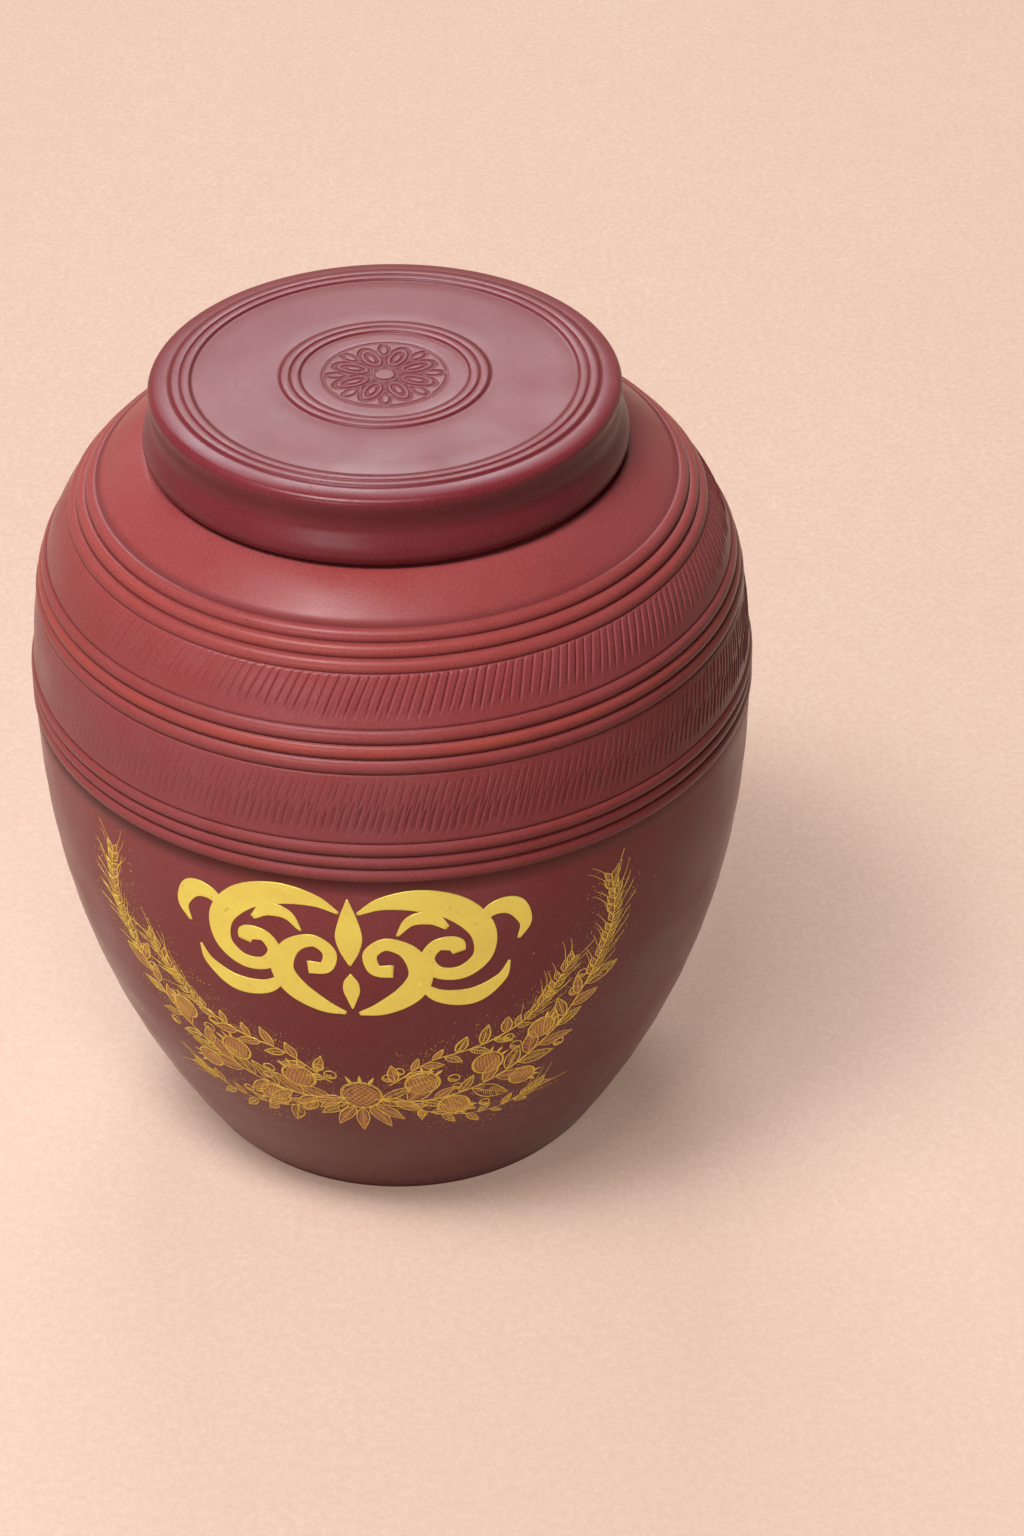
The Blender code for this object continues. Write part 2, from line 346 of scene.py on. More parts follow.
class Combing:
    """One combed zone: strokes drawn down the clay, each a gouge with a raised lip, at fixed cuts of its pitch.

    Strokes times cuts is a whole multiple of PLAIN_COLUMNS, and the cuts settle into even steps at the zone's
    edges, so its rings join plain ones. Each kind's lifts(share) gives how far the clay stands out at every cut,
    and how far every stroke has wandered, at a share of the way down.
    """

    FIRST_ROW = 0.012
    SETTLING = 0.05

    def __init__(self, start, length, depth, base_twist):
        self.start = start
        self.length = length
        self.depth = depth
        self.base_twist = base_twist
        draw = np.random.default_rng(self.SEED)
        self.jitter = draw.uniform(-1.0, 1.0, self.STROKES)
        self.phase = draw.uniform(0.0, TURN, self.STROKES)
        self.force = draw.uniform(0.75, 1.1, self.STROKES) * self.side_force()
        self.ends = draw.uniform(-1.0, 1.0, (4, self.STROKES))
        self.chosen = draw.uniform(0.0, 1.0, self.STROKES)

    def side_force(self):
        """The comb was pressed hard on the jar's front and right side and lightly on its left, in slow waves."""
        angle = np.arange(self.STROKES) * TURN / self.STROKES
        pressed = ease(np.cos(angle + math.radians(30.0)), -0.62, 0.55)
        return 0.20 + 0.80 * pressed + 0.06 * np.sin(3.0 * angle + 1.0) + 0.05 * np.sin(7.0 * angle)

    def throw(self, line, thrown):
        """Adds the zone's rings to the thrown body."""
        even = np.arange(len(self.CUTS)) / len(self.CUTS)
        for row in range(self.ROWS + 1):
            share = min(max(row / self.ROWS, self.FIRST_ROW), 1.0 - self.FIRST_ROW)
            settle = 0.0
            if 0 < row < self.ROWS:
                settle = float(ease(share, 0.0, self.SETTLING) * ease(1.0 - share, 0.0, self.SETTLING))
            lift, wander = self.lifts(share)
            after = np.roll(wander, -1)
            cuts = self.CUTS * settle + even * (1.0 - settle)
            place = np.arange(self.STROKES)[:, None] + wander[:, None] * settle
            place = place + cuts[None, :] * (1.0 + (after - wander)[:, None] * settle)
            lean = self.LEAN * (1.0 - share) ** self.CURVE
            angles = place.ravel() * TURN / self.STROKES + self.base_twist + lean
            lift = lift.ravel() * settle
            radius, height = line.at(self.start + share * self.length, lift)
            # Each gouge gets painted shade as deep as it is cut.
            thrown.ring(radius, height, angles=angles, painted_shade=np.clip(-lift / self.depth, 0.0, 1.0))


class LongStrokes(Combing):
    """The upper zone: long strokes that hang from the first band, with ragged lower ends."""

    STROKES, ROWS, SEED = 216, 16, 11
    LEAN, CURVE = 0.050, 1.35
    CUTS = np.array((0.0, 0.07, 0.15, 0.30, 0.50, 0.70, 0.86, 0.94))
    LIP = np.array((-1.0, -0.36, 0.50, 0.42, 0.20, 0.08, 0.02, 0.0))
    WALL = np.array((0.0, 0.0, 0.0, 0.0, 0.0, 0.0, -0.08, -0.55))
    SHORT = np.array((0.0, 0.0, 0.05, 0.1, -0.65, 0.22, 0.05, 0.0))

    def lifts(self, share):
        wander = 0.10 * self.jitter + 0.07 * np.sin(3.2 * share + self.phase)
        end = 0.80 + 0.06 * self.ends[0]
        pressed = self.depth * self.force * ease(share, 0.0, 0.06) * (1.0 - ease(share, end - 0.16, end))
        after = np.roll(pressed, -1)
        first = 0.52 + 0.10 * self.ends[1]
        last = 0.82 + 0.05 * self.ends[2]
        short = self.depth * 0.55 * (self.chosen > 0.62) * ease(share, first, first + 0.08)
        short = short * (1.0 - ease(share, last - 0.08, last)) * self.force
        lift = pressed[:, None] * self.LIP + after[:, None] * self.WALL + short[:, None] * self.SHORT
        return lift, wander


class ShortStrokes(Combing):
    """The lower zone: finer strokes in two rows that overlap."""

    STROKES, ROWS, SEED = 288, 21, 23
    LEAN, CURVE = 0.058, 1.2
    DEPTH_SHARE = 0.70
    CUTS = np.array((0.0, 0.10, 0.22, 0.5, 0.61, 0.80))
    UPPER = np.array((-1.0, 0.30, 0.45, 0.08, 0.0, -0.05))
    LOWER = np.array((0.0, 0.0, -0.30, -1.0, 0.35, 0.40))

    def lifts(self, share):
        wander = 0.14 * self.jitter + 0.08 * np.sin(5.0 * share + self.phase)
        start, end = 0.10 + 0.035 * self.ends[0], 0.52 + 0.10 * self.ends[1]
        upper = ease(share, start, start + 0.05) * (1.0 - ease(share, end - 0.10, end))
        start, end = 0.42 + 0.08 * self.ends[2], 0.86 + 0.04 * self.ends[3]
        lower = ease(share, start, start + 0.07) * (1.0 - ease(share, end - 0.08, end))
        force = self.depth * self.force
        lift = (force * upper)[:, None] * self.UPPER + (force * lower)[:, None] * self.LOWER
        return lift, wander


def throw_inside(line, thrown):
    """Rings from the middle of the inner floor up to the rim's inner edge, with the thrower's ripples."""
    thrown.pole(FLOOR_TOP)
    thrown.rings([(radius, FLOOR_TOP + 0.0004 * math.sin(radius * 300.0), 0.0) for radius in (0.03, 0.06, 0.085)])
    distances = np.arange(line.length, INSIDE_END, -INSIDE_STEP)
    wall = [line.at(d, RIPPLE_HEIGHT * math.sin(d * TURN / RIPPLE_LENGTH) - BODY_WALL) for d in distances]
    # The inside wall, its fillet to the floor and the inner round of the rim get painted shade.
    wall = [(radius, height, 0.5) for radius, height in wall if height > FLOOR_TOP + FLOOR_FILLET]
    thrown.rings(corner(wall[0][0], FLOOR_TOP, FLOOR_FILLET, -90, -20, 4, 0.5) + wall)
    thrown.rings(corner(MOUTH_RADIUS, wall[-1][1], BODY_WALL, 270, 180, 6, 0.2))


def throw_neck(shape, thrown):
    """Rings over the rim and down the neck to the ledge."""
    rim = shape.ledge_height + NECK_HEIGHT
    section = corner(MOUTH_RADIUS, rim, RIM_ROUNDING, 180, 90, 5) + corner(NECK_RADIUS, rim, RIM_ROUNDING, 90, 0, 5)
    section += corner(NECK_RADIUS, shape.ledge_height, NECK_FILLET, 180, 270, 4)
    section.append((shape.ledge_radius - 0.0022, shape.ledge_height - 0.0001, 0.0))
    thrown.rings(section)


def throw_beads(shape, line, thrown, start, warmths, twist):
    """Rings of one band of beads, from its upper groove to its lower one."""
    for bead, warmth in enumerate(warmths):
        for share in BEAD_SHAPE:
            outer = (bead == 0 and share < 0.5) or (bead == BEADS_IN_BAND - 1 and share > 0.5)
            low = shape.groove_depth * (OUTER_GROOVE if outer else 1.0)
            crown = (1.0 - abs(2.0 * share - 1.0) ** 2.3) ** 0.72
            lift = (shape.bead_rise + low) * crown - low
            radius, height = line.at(start + (bead + share) * BEAD_PITCH, lift)
            # The grooves between the beads get painted shade, fading out towards each crown.
            thrown.ring(radius, height, twist=twist, painted_shade=(1.0 - crown) ** 2, warmth=warmth * crown)
    radius, height = line.at(start + BEADS_IN_BAND * BEAD_PITCH, -(shape.groove_depth * OUTER_GROOVE))
    thrown.ring(radius, height, twist=twist, painted_shade=1.0)


def throw_clay(line, thrown, start, end, step):
    """Rings of plain clay between two distances, without either end."""
    count = max(1, math.ceil((end - start) / step))
    for index in range(1, count):
        thrown.ring(*line.at(start + (end - start) * index / count))


def throw_foot(shape, thrown):
    """Rings of the foot: a small step in, the ring that it stands on, and the hollow under it, with painted shade in
    the step and round the hollow.
    """
    above = belly_reach(shape, FOOT_HEIGHT)
    outside = shape.foot_radius
    inside = outside - FOOT_RING_WIDTH
    thrown.rings((
        (above - 0.0003, FOOT_HEIGHT - 0.0007, 0.0), (above - FOOT_STEP, FOOT_HEIGHT - FOOT_STEP, 1.0),
        (outside + 0.0003, FOOT_HEIGHT - 0.0022, 0.3), (outside, FOOT_STEP, 0.0), (outside - 0.0004, 0.0004, 0.0),
        (outside - FOOT_STEP, 0.0, 0.0), (inside, 0.0, 0.0), (inside - FOOT_RECESS, FOOT_RECESS, 0.4),
        (0.04, FOOT_RECESS, 0.0),
    ))
    thrown.pole(FOOT_RECESS)


def rgba(colour, gain=1.0):
    """A colour with its alpha, made lighter or darker by one gain, or by one for each channel."""
    gains = np.broadcast_to(gain, 3).tolist()
    return (*(min(1.0, channel * share) for channel, share in zip(colour, gains)), 1.0)


class Finish:
    """A node material in the making. Its short calls each add a node and give back what the node gives."""

    def __init__(self, name, colour):
        self.material = bpy.data.materials.new(name)
        self.material.use_nodes = True
        self.material.diffuse_color = rgba(colour)
        self.tree = self.material.node_tree
        self.shader = self.tree.nodes["Principled BSDF"]
        self.place = self.node("ShaderNodeTexCoord").outputs["Object"]

    def feed(self, socket, value):
        """Links a node's result to a socket, or sets the socket to a plain value."""
        if isinstance(value, bpy.types.NodeSocket):
            self.tree.links.new(value, socket)
        else:
            socket.default_value = value

    def node(self, kind, inputs=None, **settings):
        """A shader node, with its settings and inputs."""
        node = self.tree.nodes.new(kind)
        for name, value in settings.items():
            setattr(node, name, value)
        for name, value in (inputs or {}).items():
            self.feed(node.inputs[name], value)
        return node

    def mix(self, share, first, second, blend="MIX"):
        """Two colours mixed by a share."""
        inputs = {0: share, 6: first, 7: second}
        return self.node("ShaderNodeMix", inputs, data_type="RGBA", blend_type=blend).outputs[2]

    def maths(self, operation, first, second=0.0, third=0.0, clamp=False):
        """A maths node's result."""
        inputs = {0: first, 1: second, 2: third}
        return self.node("ShaderNodeMath", inputs, operation=operation, use_clamp=clamp).outputs[0]

    def times(self, first, second):
        """Two numbers multiplied."""
        return self.maths("MULTIPLY", first, second)

    def noise(self, scale, detail=3.0, roughness=0.55, distortion=0.0, stretch=None):
        """Noise over the piece, its place scaled along the axes first where a stretch is given."""
        place = self.place
        if stretch:
            place = self.node("ShaderNodeMapping", {"Vector": place, "Scale": stretch}).outputs["Vector"]
        inputs = {"Vector": place, "Scale": scale, "Detail": detail, "Roughness": roughness, "Distortion": distortion}
        return self.node("ShaderNodeTexNoise", inputs).outputs["Fac"]

    def band(self, value, low, high, low_result=0.0, high_result=1.0):
        """A value's band mapped to another, clamped."""
        inputs = {"Value": value, "From Min": low, "From Max": high, "To Min": low_result, "To Max": high_result}
        return self.node("ShaderNodeMapRange", inputs).outputs["Result"]

    def mark(self, name):
        """A mark that the piece's points carry."""
        return self.node("ShaderNodeAttribute", attribute_name=name).outputs["Fac"]

    def along(self, axis):
        """The place along one axis."""
        return self.node("ShaderNodeSeparateXYZ", {"Vector": self.place}).outputs[axis]

    def seen_directly(self):
        """1 where a ray comes from the camera, a reflection or through glass, and 0 for light bounced on."""
        rays = self.node("ShaderNodeLightPath").outputs
        seen = self.maths("MAXIMUM", rays["Is Camera Ray"], rays["Is Glossy Ray"])
        return self.maths("MAXIMUM", seen, rays["Is Transmission Ray"])

    def done(self, inputs, height, strength, distance):
        """The material, once its shader has its inputs and the bump of a height."""
        bump = self.node("ShaderNodeBump", {"Height": height, "Strength": strength, "Distance": distance})
        for name, value in {**inputs, "Normal": bump.outputs["Normal"]}.items():
            self.feed(self.shader.inputs[name], value)
        return self.material


def fired_clay(name, clay, bloom, warm, roughness=0.27, burnish=0.17, pits=1.0):
    """Unglazed fired clay: cloudy colour, wheel lines, speckle, pits and a burnish; painted shade darkens its hollows,
    its pits and its lower part towards the foot.
    """
    finish = Finish(name, clay)
    clouds = finish.band(finish.noise(7.0, 4.0, 0.6, 0.4), 0.38, 0.68)
    streaks = finish.band(finish.noise(60.0, 4.0, stretch=(1.0, 1.0, 0.12)), 0.35, 0.70)
    bloom_share = finish.maths("MULTIPLY_ADD", clouds, 0.45, finish.times(streaks, 0.18))
    colour = finish.mix(bloom_share, rgba(clay), rgba(bloom))
    patches = finish.band(finish.noise(38.0), 0.30, 0.62, 0.45, 1.0)
    colour = finish.mix(finish.times(finish.mark("warmth"), patches), colour, rgba(warm))
    grain = finish.noise(1500.0, 2.0)
    colour = finish.mix(finish.band(grain, 0.54, 0.74, 0.0, 0.40), colour, rgba(bloom, 1.35))
    colour = finish.mix(finish.band(grain, 0.44, 0.26, 0.0, 0.45), colour, rgba(clay, 0.45))
    holes = finish.node("ShaderNodeTexVoronoi", {"Vector": finish.place, "Scale": 170.0, "Randomness": 1.0})
    rare = finish.band(finish.noise(45.0, 1.0), 0.60, 0.66)
    pit = finish.times(finish.times(finish.band(holes.outputs["Distance"], 0.10, 0.04), rare), pits)
    # Painted shade: the small pits are darkened as if shaded inside.
    colour = finish.mix(finish.times(pit, 0.7), colour, rgba(clay, 0.22))
    # Painted shade: the clay darkens, and grows rougher, as its points' shade mark rises.
    painted_shade = finish.mark("painted_shade")
    colour = finish.mix(finish.times(painted_shade, 0.70), colour, rgba(clay, 0.32))
    # Painted shade: the clay grows darker towards the foot, where the lower belly faces away from the lamps.
    colour = finish.mix(1.0, colour, finish.band(finish.along("Z"), 0.02, 0.23, 0.72, 1.0), "MULTIPLY")
    worn = finish.band(finish.noise(26.0, 4.0), 0.3, 0.7, roughness - 0.06, roughness + 0.07)
    rough = finish.maths("MULTIPLY_ADD", painted_shade, 0.22, worn)
    rough = finish.maths("MULTIPLY_ADD", grain, 0.08, rough, clamp=True)
    wheel = finish.noise(900.0, 2.0, stretch=(0.06, 0.06, 1.0))
    height = finish.maths("MULTIPLY_ADD", grain, 0.55, finish.times(wheel, 0.25))
    height = finish.maths("SUBTRACT", height, finish.times(pit, 2.2))
    inputs = {"Base Color": colour, "Roughness": rough, "Specular IOR Level": burnish}
    return finish.done(inputs, height, 0.35, 0.00022)


def soft_silicone(name, colour):
    """Pale matte silicone with a faint moulded grain."""
    finish = Finish(name, colour)
    grain = finish.noise(700.0, 2.0)
    tone = finish.mix(finish.band(finish.noise(30.0), 0.3, 0.7), rgba(colour), rgba(colour, 0.86))
    rough = finish.band(grain, 0.3, 0.7, 0.40, 0.52)
    inputs = {"Base Color": tone, "Roughness": rough, "Subsurface Weight": 0.05}
    return finish.done(inputs, grain, 0.2, 0.0001)


def gold_paint(name, colour, clay, wear, grain=480.0, metal=0.70):
    """Gold paint fired on clay: warm patches, small worn spots where the clay shows, a soft shine."""
    finish = Finish(name, colour)
    patches = finish.band(finish.noise(55.0, 4.0), 0.35, 0.68)
    tone = finish.mix(patches, rgba(colour), rgba(colour, (0.96, 0.90, 0.90)))
    spots = finish.noise(grain, 3.0, 0.65)
    tone = finish.mix(finish.band(spots, 0.66 - wear, 0.80 - wear, 0.0, 0.85), tone, rgba(clay, 1.2))
    inputs = {"Base Color": tone, "Roughness": finish.band(spots, 0.3, 0.7, 0.40, 0.55), "Metallic": metal}
    return finish.done(inputs, spots, 0.25, 0.0001)


# Share of the paper's own pale tone that glows, painted light seen through the jar's shadow and on the paper, beside
# the jar and far behind it
PAPER_GLOW = (0.25, 0.68)


def backdrop_paper(name, colour):
    """Pale seamless paper with soft blotches and a fine fibre grain, with painted shade deepening its tone towards the
    front and a glow of painted light.
    """
    finish = Finish(name, colour)
    blotches = finish.band(finish.noise(9.0, 5.0, 0.6, stretch=(1.0, 0.7, 1.0)), 0.35, 0.68)
    mottle = finish.band(finish.noise(70.0, 4.0, 0.7, stretch=(1.0, 0.7, 1.0)), 0.35, 0.65)
    depth = finish.along("Y")
    # Painted shade: the paper's tone deepens towards the front.
    front = rgba(colour, (0.965, 0.88, 0.84))
    tone = finish.mix(finish.band(depth, -0.45, 0.55), front, rgba(colour))
    tone = finish.mix(finish.times(blotches, 0.35), tone, front)
    tone = finish.mix(finish.times(mottle, 0.45), tone, rgba(colour, (0.93, 0.83, 0.76)))
    for scale, share in ((620.0, 0.55), (260.0, 0.70)):
        fibre = finish.band(finish.noise(scale, 3.0, 0.75), 0.38, 0.62, 0.0, share)
        tone = finish.mix(fibre, tone, rgba(colour, (0.86, 0.76, 0.70)))
    seen = finish.seen_directly()
    # Painted light: the paper glows in its own warmer tone, more so far behind, which lifts the jar's shadow.
    warm = finish.mix(1.0, tone, (1.0, 0.93, 0.87, 1.0), "MULTIPLY")
    glow = finish.node("ShaderNodeEmission", {"Color": warm, "Strength": 1.0}).outputs["Emission"]
    share = finish.times(seen, finish.band(depth, 0.0, 0.55, *PAPER_GLOW))
    lit = finish.node("ShaderNodeMixShader", {0: share, 1: finish.shader.outputs["BSDF"], 2: glow})
    finish.feed(finish.tree.nodes["Material Output"].inputs["Surface"], lit.outputs["Shader"])
    # Painted shade: bounced light sees the paper at a quarter of its tone, so little of it falls back onto the jar.
    bounced = rgba(colour, 0.25)
    inputs = {"Base Color": finish.mix(seen, bounced, tone), "Roughness": 0.9, "Specular IOR Level": 0.2}
    return finish.done(inputs, fibre, 0.15, 0.0004)


def kept_finish(name, make, *arguments, **settings):
    """The finish of this name, made on its first use."""
    return bpy.data.materials.get(name) or make(name, *arguments, **settings)


class WINEJAR_OT_body(bpy.types.Operator):
    """Throws the jar's body: foot, belly, three bands of beads, two combed zones, shoulder, neck and inside"""

    bl_idname = "winejar.body"
    bl_label = "Throw the Body"

    def execute(self, context):
        shape, tone = sizes(), colours()
        line = BodyLine(shape)
        zone_starts = []
        distance = 0.0
        for clay_above in CLAY_ABOVE_BANDS:
            zone_starts.append(distance)
            distance += clay_above + BEADS_IN_BAND * BEAD_PITCH
        upper = LongStrokes(zone_starts[1], CLAY_ABOVE_BANDS[1], shape.stroke_depth, ShortStrokes.LEAN)
        depth = shape.stroke_depth * ShortStrokes.DEPTH_SHARE
        lower = ShortStrokes(zone_starts[2], CLAY_ABOVE_BANDS[2], depth, 0.0)
        twists = (upper.LEAN + lower.LEAN, lower.LEAN, 0.0)
        thrown = Thrown()
        throw_inside(line, thrown)
        throw_neck(shape, thrown)
        thrown.ring(*line.at(LEDGE_EDGE))
        throw_clay(line, thrown, LEDGE_EDGE, CLAY_ABOVE_BANDS[0], SHOULDER_STEP)
        for band, combing in enumerate((upper, lower, None)):
            start = zone_starts[band] + CLAY_ABOVE_BANDS[band]
            throw_beads(shape, line, thrown, start, BEAD_WARMTH[band], twists[band])
            if combing:
                combing.throw(line, thrown)
        throw_clay(line, thrown, distance, line.length, BELLY_STEP)
        thrown.ring(*line.at(line.length))
        throw_foot(shape, thrown)
        clay = kept_finish("fired_red_clay", fired_clay, tone.body_clay, tone.bloom_clay, tone.bead_clay)
        piece = thrown.piece("jar_shell", clay)
        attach(piece, "jar")
        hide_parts("jar_body")
        return {"FINISHED"}


def pressed_line(radius, across, line):
    """How deep the line round one petal is pressed in, at a radius and distances across the petal."""
    middle, length, width, groove = line
    far = np.hypot((radius - middle) / length, across / width)
    return np.exp(-(((far - 1.0) * width / groove) ** 2))


def rosette_dip(radius, angles):
    """How deep a generic rosette of petals is pressed in, from 0 to 1, on a ring of the cap's top."""
    folded = (angles * PETALS / TURN) % 1.0 - 0.5
    across = radius * folded * TURN / PETALS
    between = np.abs(np.abs(folded) - 0.5) * TURN / PETALS * radius
    dip = pressed_line(radius, between, LEAF_LINE)
    for line in PETAL_LINES:
        dip = np.maximum(dip, pressed_line(radius, across, line))
    for middle, groove, depth in ROUND_LINES:
        dip = np.maximum(dip, depth * math.exp(-(((radius - middle) / groove) ** 2)))
    return dip


def ring_pair(middle, rise):
    """Section of two raised rings side by side, with their groove at a radius."""
    section = []
    for inner_edge in (middle - RING_PITCH, middle):
        for share in RING_SHAPE:
            crown = (1.0 - abs(2.0 * share - 1.0) ** 6.0) ** 0.70
            height = CAP_TOP + rise * crown - RING_GROOVE * (1.0 - crown)
            # The grooves beside each ring get painted shade.
            section.append((inner_edge + share * RING_PITCH, height, 0.5 * (1.0 - crown) ** 2))
    section.append((middle + RING_PITCH, CAP_TOP - 0.0002, 0.5))
    return section


class WINEJAR_OT_cap(bpy.types.Operator):
    """Turns the outer cap: ringed top with a pressed rosette, rounded edge, waisted skirt and bottom bead"""

    bl_idname = "winejar.cap"
    bl_label = "Turn the Cap"

    def execute(self, context):
        shape, tone = sizes(), colours()
        thrown = Thrown()
        thrown.pole(CAP_TOP)
        thrown.ring(0.0015, CAP_TOP)
        angles = np.arange(ROSETTE_COLUMNS) * TURN / ROSETTE_COLUMNS
        for radius in np.arange(0.003, ROSETTE_RADIUS, ROSETTE_STEP):
            dip = rosette_dip(radius, angles)
            # The rosette's pressed lines get painted shade.
            thrown.ring(radius, CAP_TOP - shape.emblem_depth * dip, angles=angles, painted_shade=dip * 0.5)
        edge = CAP_TOP - CAP_EDGE_SLOPE - CAP_EDGE_ROUNDING
        crest = CAP_BOTTOM + CAP_CREST_HEIGHT
        section = flat((0.0305, 0.0335, 0.0362), CAP_TOP) + ring_pair(INNER_RINGS, shape.ring_rise)
        section += flat((0.0480, 0.056, 0.066, 0.076, 0.0840), CAP_TOP) + ring_pair(OUTER_RINGS, shape.ring_rise)
        section += [(0.0965, CAP_TOP - 0.00015, 0.0), (0.0992, CAP_TOP - 0.0004, 0.0)]
        section += arc((CAP_RADIUS - CAP_EDGE_ROUNDING, edge), CAP_EDGE_ROUNDING, 80, 0, 7)
        # The skirt gets painted shade all down its waist to the bead.
        for share in np.linspace(0.0, 1.0, 19)[1:]:
            waist = CAP_WAIST * math.sin(math.pi * min(1.0, share / 0.8)) ** 2
            swell = CAP_BEAD_SWELL * float(ease(share, 0.48, 1.0))
            section.append((CAP_RADIUS - waist + swell, edge + (crest - edge) * share, 0.2))
        for angle in np.radians(np.linspace(0, 90, 8)[1:]):
            under = CAP_LIP_ROUNDING * (1.0 - math.cos(angle))
            section.append((CAP_RADIUS + CAP_BEAD_SWELL - under, crest - CAP_CREST_HEIGHT * math.sin(angle), 0.0))
        # The bore and the underside get painted shade.
        section.append((CAP_BORE_RADIUS + CAP_BORE_CHAMFER, CAP_BOTTOM, 0.3))
        section.append((CAP_BORE_RADIUS, CAP_BOTTOM + CAP_BORE_CHAMFER, 0.3))
        section += corner(CAP_BORE_RADIUS, CAP_UNDERSIDE, CAP_BORE_FILLET, 0, 90, 5, 0.4)
        section += flat((0.08, 0.05, 0.02), CAP_UNDERSIDE, 0.2)
        thrown.rings(section)
        thrown.pole(CAP_UNDERSIDE, 0.2)
        look = {"burnish": 0.27, "pits": 0.4}
        clay = kept_finish("fired_mauve_clay", fired_clay, tone.cap_clay, tone.cap_bloom, tone.cap_bloom, **look)
        piece = thrown.piece("cap_shell", clay)
        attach(piece, "cap")
        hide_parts("outer_lid")
        return {"FINISHED"}


class WINEJAR_OT_stopper(bpy.types.Operator):
    """Turns the inner stopper lid: knob, dish, flange and plug"""

    bl_idname = "winejar.stopper"
    bl_label = "Turn the Stopper"

    def execute(self, context):
        tone = colours()
        top, bottom = STOPPER_HIGH.z, STOPPER_LOW.z
        flange, flange_bottom = STOPPER_HIGH.x, SEAL_HIGH.z + FLANGE_GAP
        floor, knob_top = top - DISH_DEPTH, top - KNOB_DROP
        section = [(0.004, knob_top - 0.0001, 0.0), (0.007, knob_top - 0.0005, 0.0)]
        section += arc((KNOB_RADIUS - KNOB_ROUNDING, knob_top - 0.007), KNOB_ROUNDING, 75, -45, 9)
        # The dish's floor and fillets and the plug under the flange get painted shade.
        section += corner(STEM_RADIUS, floor, DISH_FILLET, 180, 270, 5, 0.8)
        for radius in (0.022, 0.03, 0.038, 0.047, 0.056, 0.064):
            section.append((radius, floor + 0.0002 * math.sin(radius * 700.0), 0.3))
        section += corner(DISH_RADIUS, floor, DISH_FILLET, 270, 360, 5, 0.5)
        section += corner(DISH_RADIUS, top, FLANGE_ROUNDING, 180, 90, 3)
        section += corner(flange, top, FLANGE_ROUNDING, 90, 0, 3)
        section += corner(flange, flange_bottom, FLANGE_UNDER_ROUNDING, 0, -90, 3)
        section += [(PLUG_RADIUS, flange_bottom, 0.6)] + corner(PLUG_RADIUS, bottom, PLUG_ROUNDING, 0, -90, 5)
        thrown = Thrown()
        thrown.pole(knob_top)
        thrown.rings(section + flat((0.055, 0.03), bottom), FEW_COLUMNS)
        thrown.pole(bottom)
        clay = kept_finish("buff_clay", fired_clay, tone.stopper_clay, tone.bloom_clay, tone.bead_clay, 0.60, 0.5)
        piece = thrown.piece("stopper_shell", clay)
        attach(piece, "stopper")
        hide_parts("inner_lid")
        return {"FINISHED"}


class WINEJAR_OT_seal(bpy.types.Operator):
    """Moulds the silicone seal under the stopper's flange"""

    bl_idname = "winejar.seal"
    bl_label = "Mould the Seal"

    def execute(self, context):
        outer, inner, upper, lower = SEAL_HIGH.x, SEAL_INNER_RADIUS, SEAL_HIGH.z, SEAL_LOW.z
        thrown = Thrown()
        for radius, height, start in ((outer, upper, 90), (outer, lower, 0), (inner, lower, 270), (inner, upper, 180)):
            thrown.rings(corner(radius, height, SEAL_ROUNDING, start, start - 90, 3), FEW_COLUMNS)
        thrown.close()
        piece = thrown.piece("seal_ring", kept_finish("silicone", soft_silicone, colours().seal))
        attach(piece, "stopper")
        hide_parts("inner_lid_seal")
        return {"FINISHED"}


# Where the designs stand: degrees round from the jar's front, and distances down its outline
DESIGN_AZIMUTH = -8.0
SCROLL_DISTANCE = 0.188
SPRAY_DISTANCE = 0.240

# The thinnest stroke in millimetres. As shares of the paint's thickness: gold rubbed into leaves and fruits, and
# what each scroll has over the last one, so that crossing scrolls share no face.
THINNEST_STROKE = 0.12
RUBBED_LEVEL = 0.35
SCROLL_THICKENING = 0.06


def turned(handles, origin, angle):
    """Handles turned by an angle about their own origin and moved to a place."""
    c, s = math.cos(angle), math.sin(angle)
    return [(origin[0] + x * c - y * s, origin[1] + x * s + y * c, width) for x, y, width in handles]


def round_line(centre, radius, width, start, end, count):
    """Handles along a round line from one angle to another."""
    angles = np.linspace(start, end, count)
    return [(centre[0] + radius * math.cos(a), centre[1] + radius * math.sin(a), width) for a in angles]


def smooth_path(handles, step):
    """A smooth curve through handles, sampled about every step along it."""
    padded = np.vstack((2 * handles[0] - handles[1], handles, 2 * handles[-1] - handles[-2]))
    samples = []
    for index in range(1, len(padded) - 2):
        p0, p1, p2, p3 = padded[index - 1:index + 3]
        count = max(1 if len(handles) == 2 else 2, math.ceil(np.linalg.norm((p2 - p1)[:2]) / step))
        share = (np.arange(count) / count)[:, None]
        samples.append(0.5 * (
            2 * p1 + (p2 - p0) * share + (2 * p0 - 5 * p1 + 4 * p2 - p3) * share ** 2
            + (3 * p1 - p0 - 3 * p2 + p3) * share ** 3
        ))
    path = np.vstack(samples + [handles[-1:]])
    path[:, 2] = np.maximum(path[:, 2], THINNEST_STROKE)
    return path


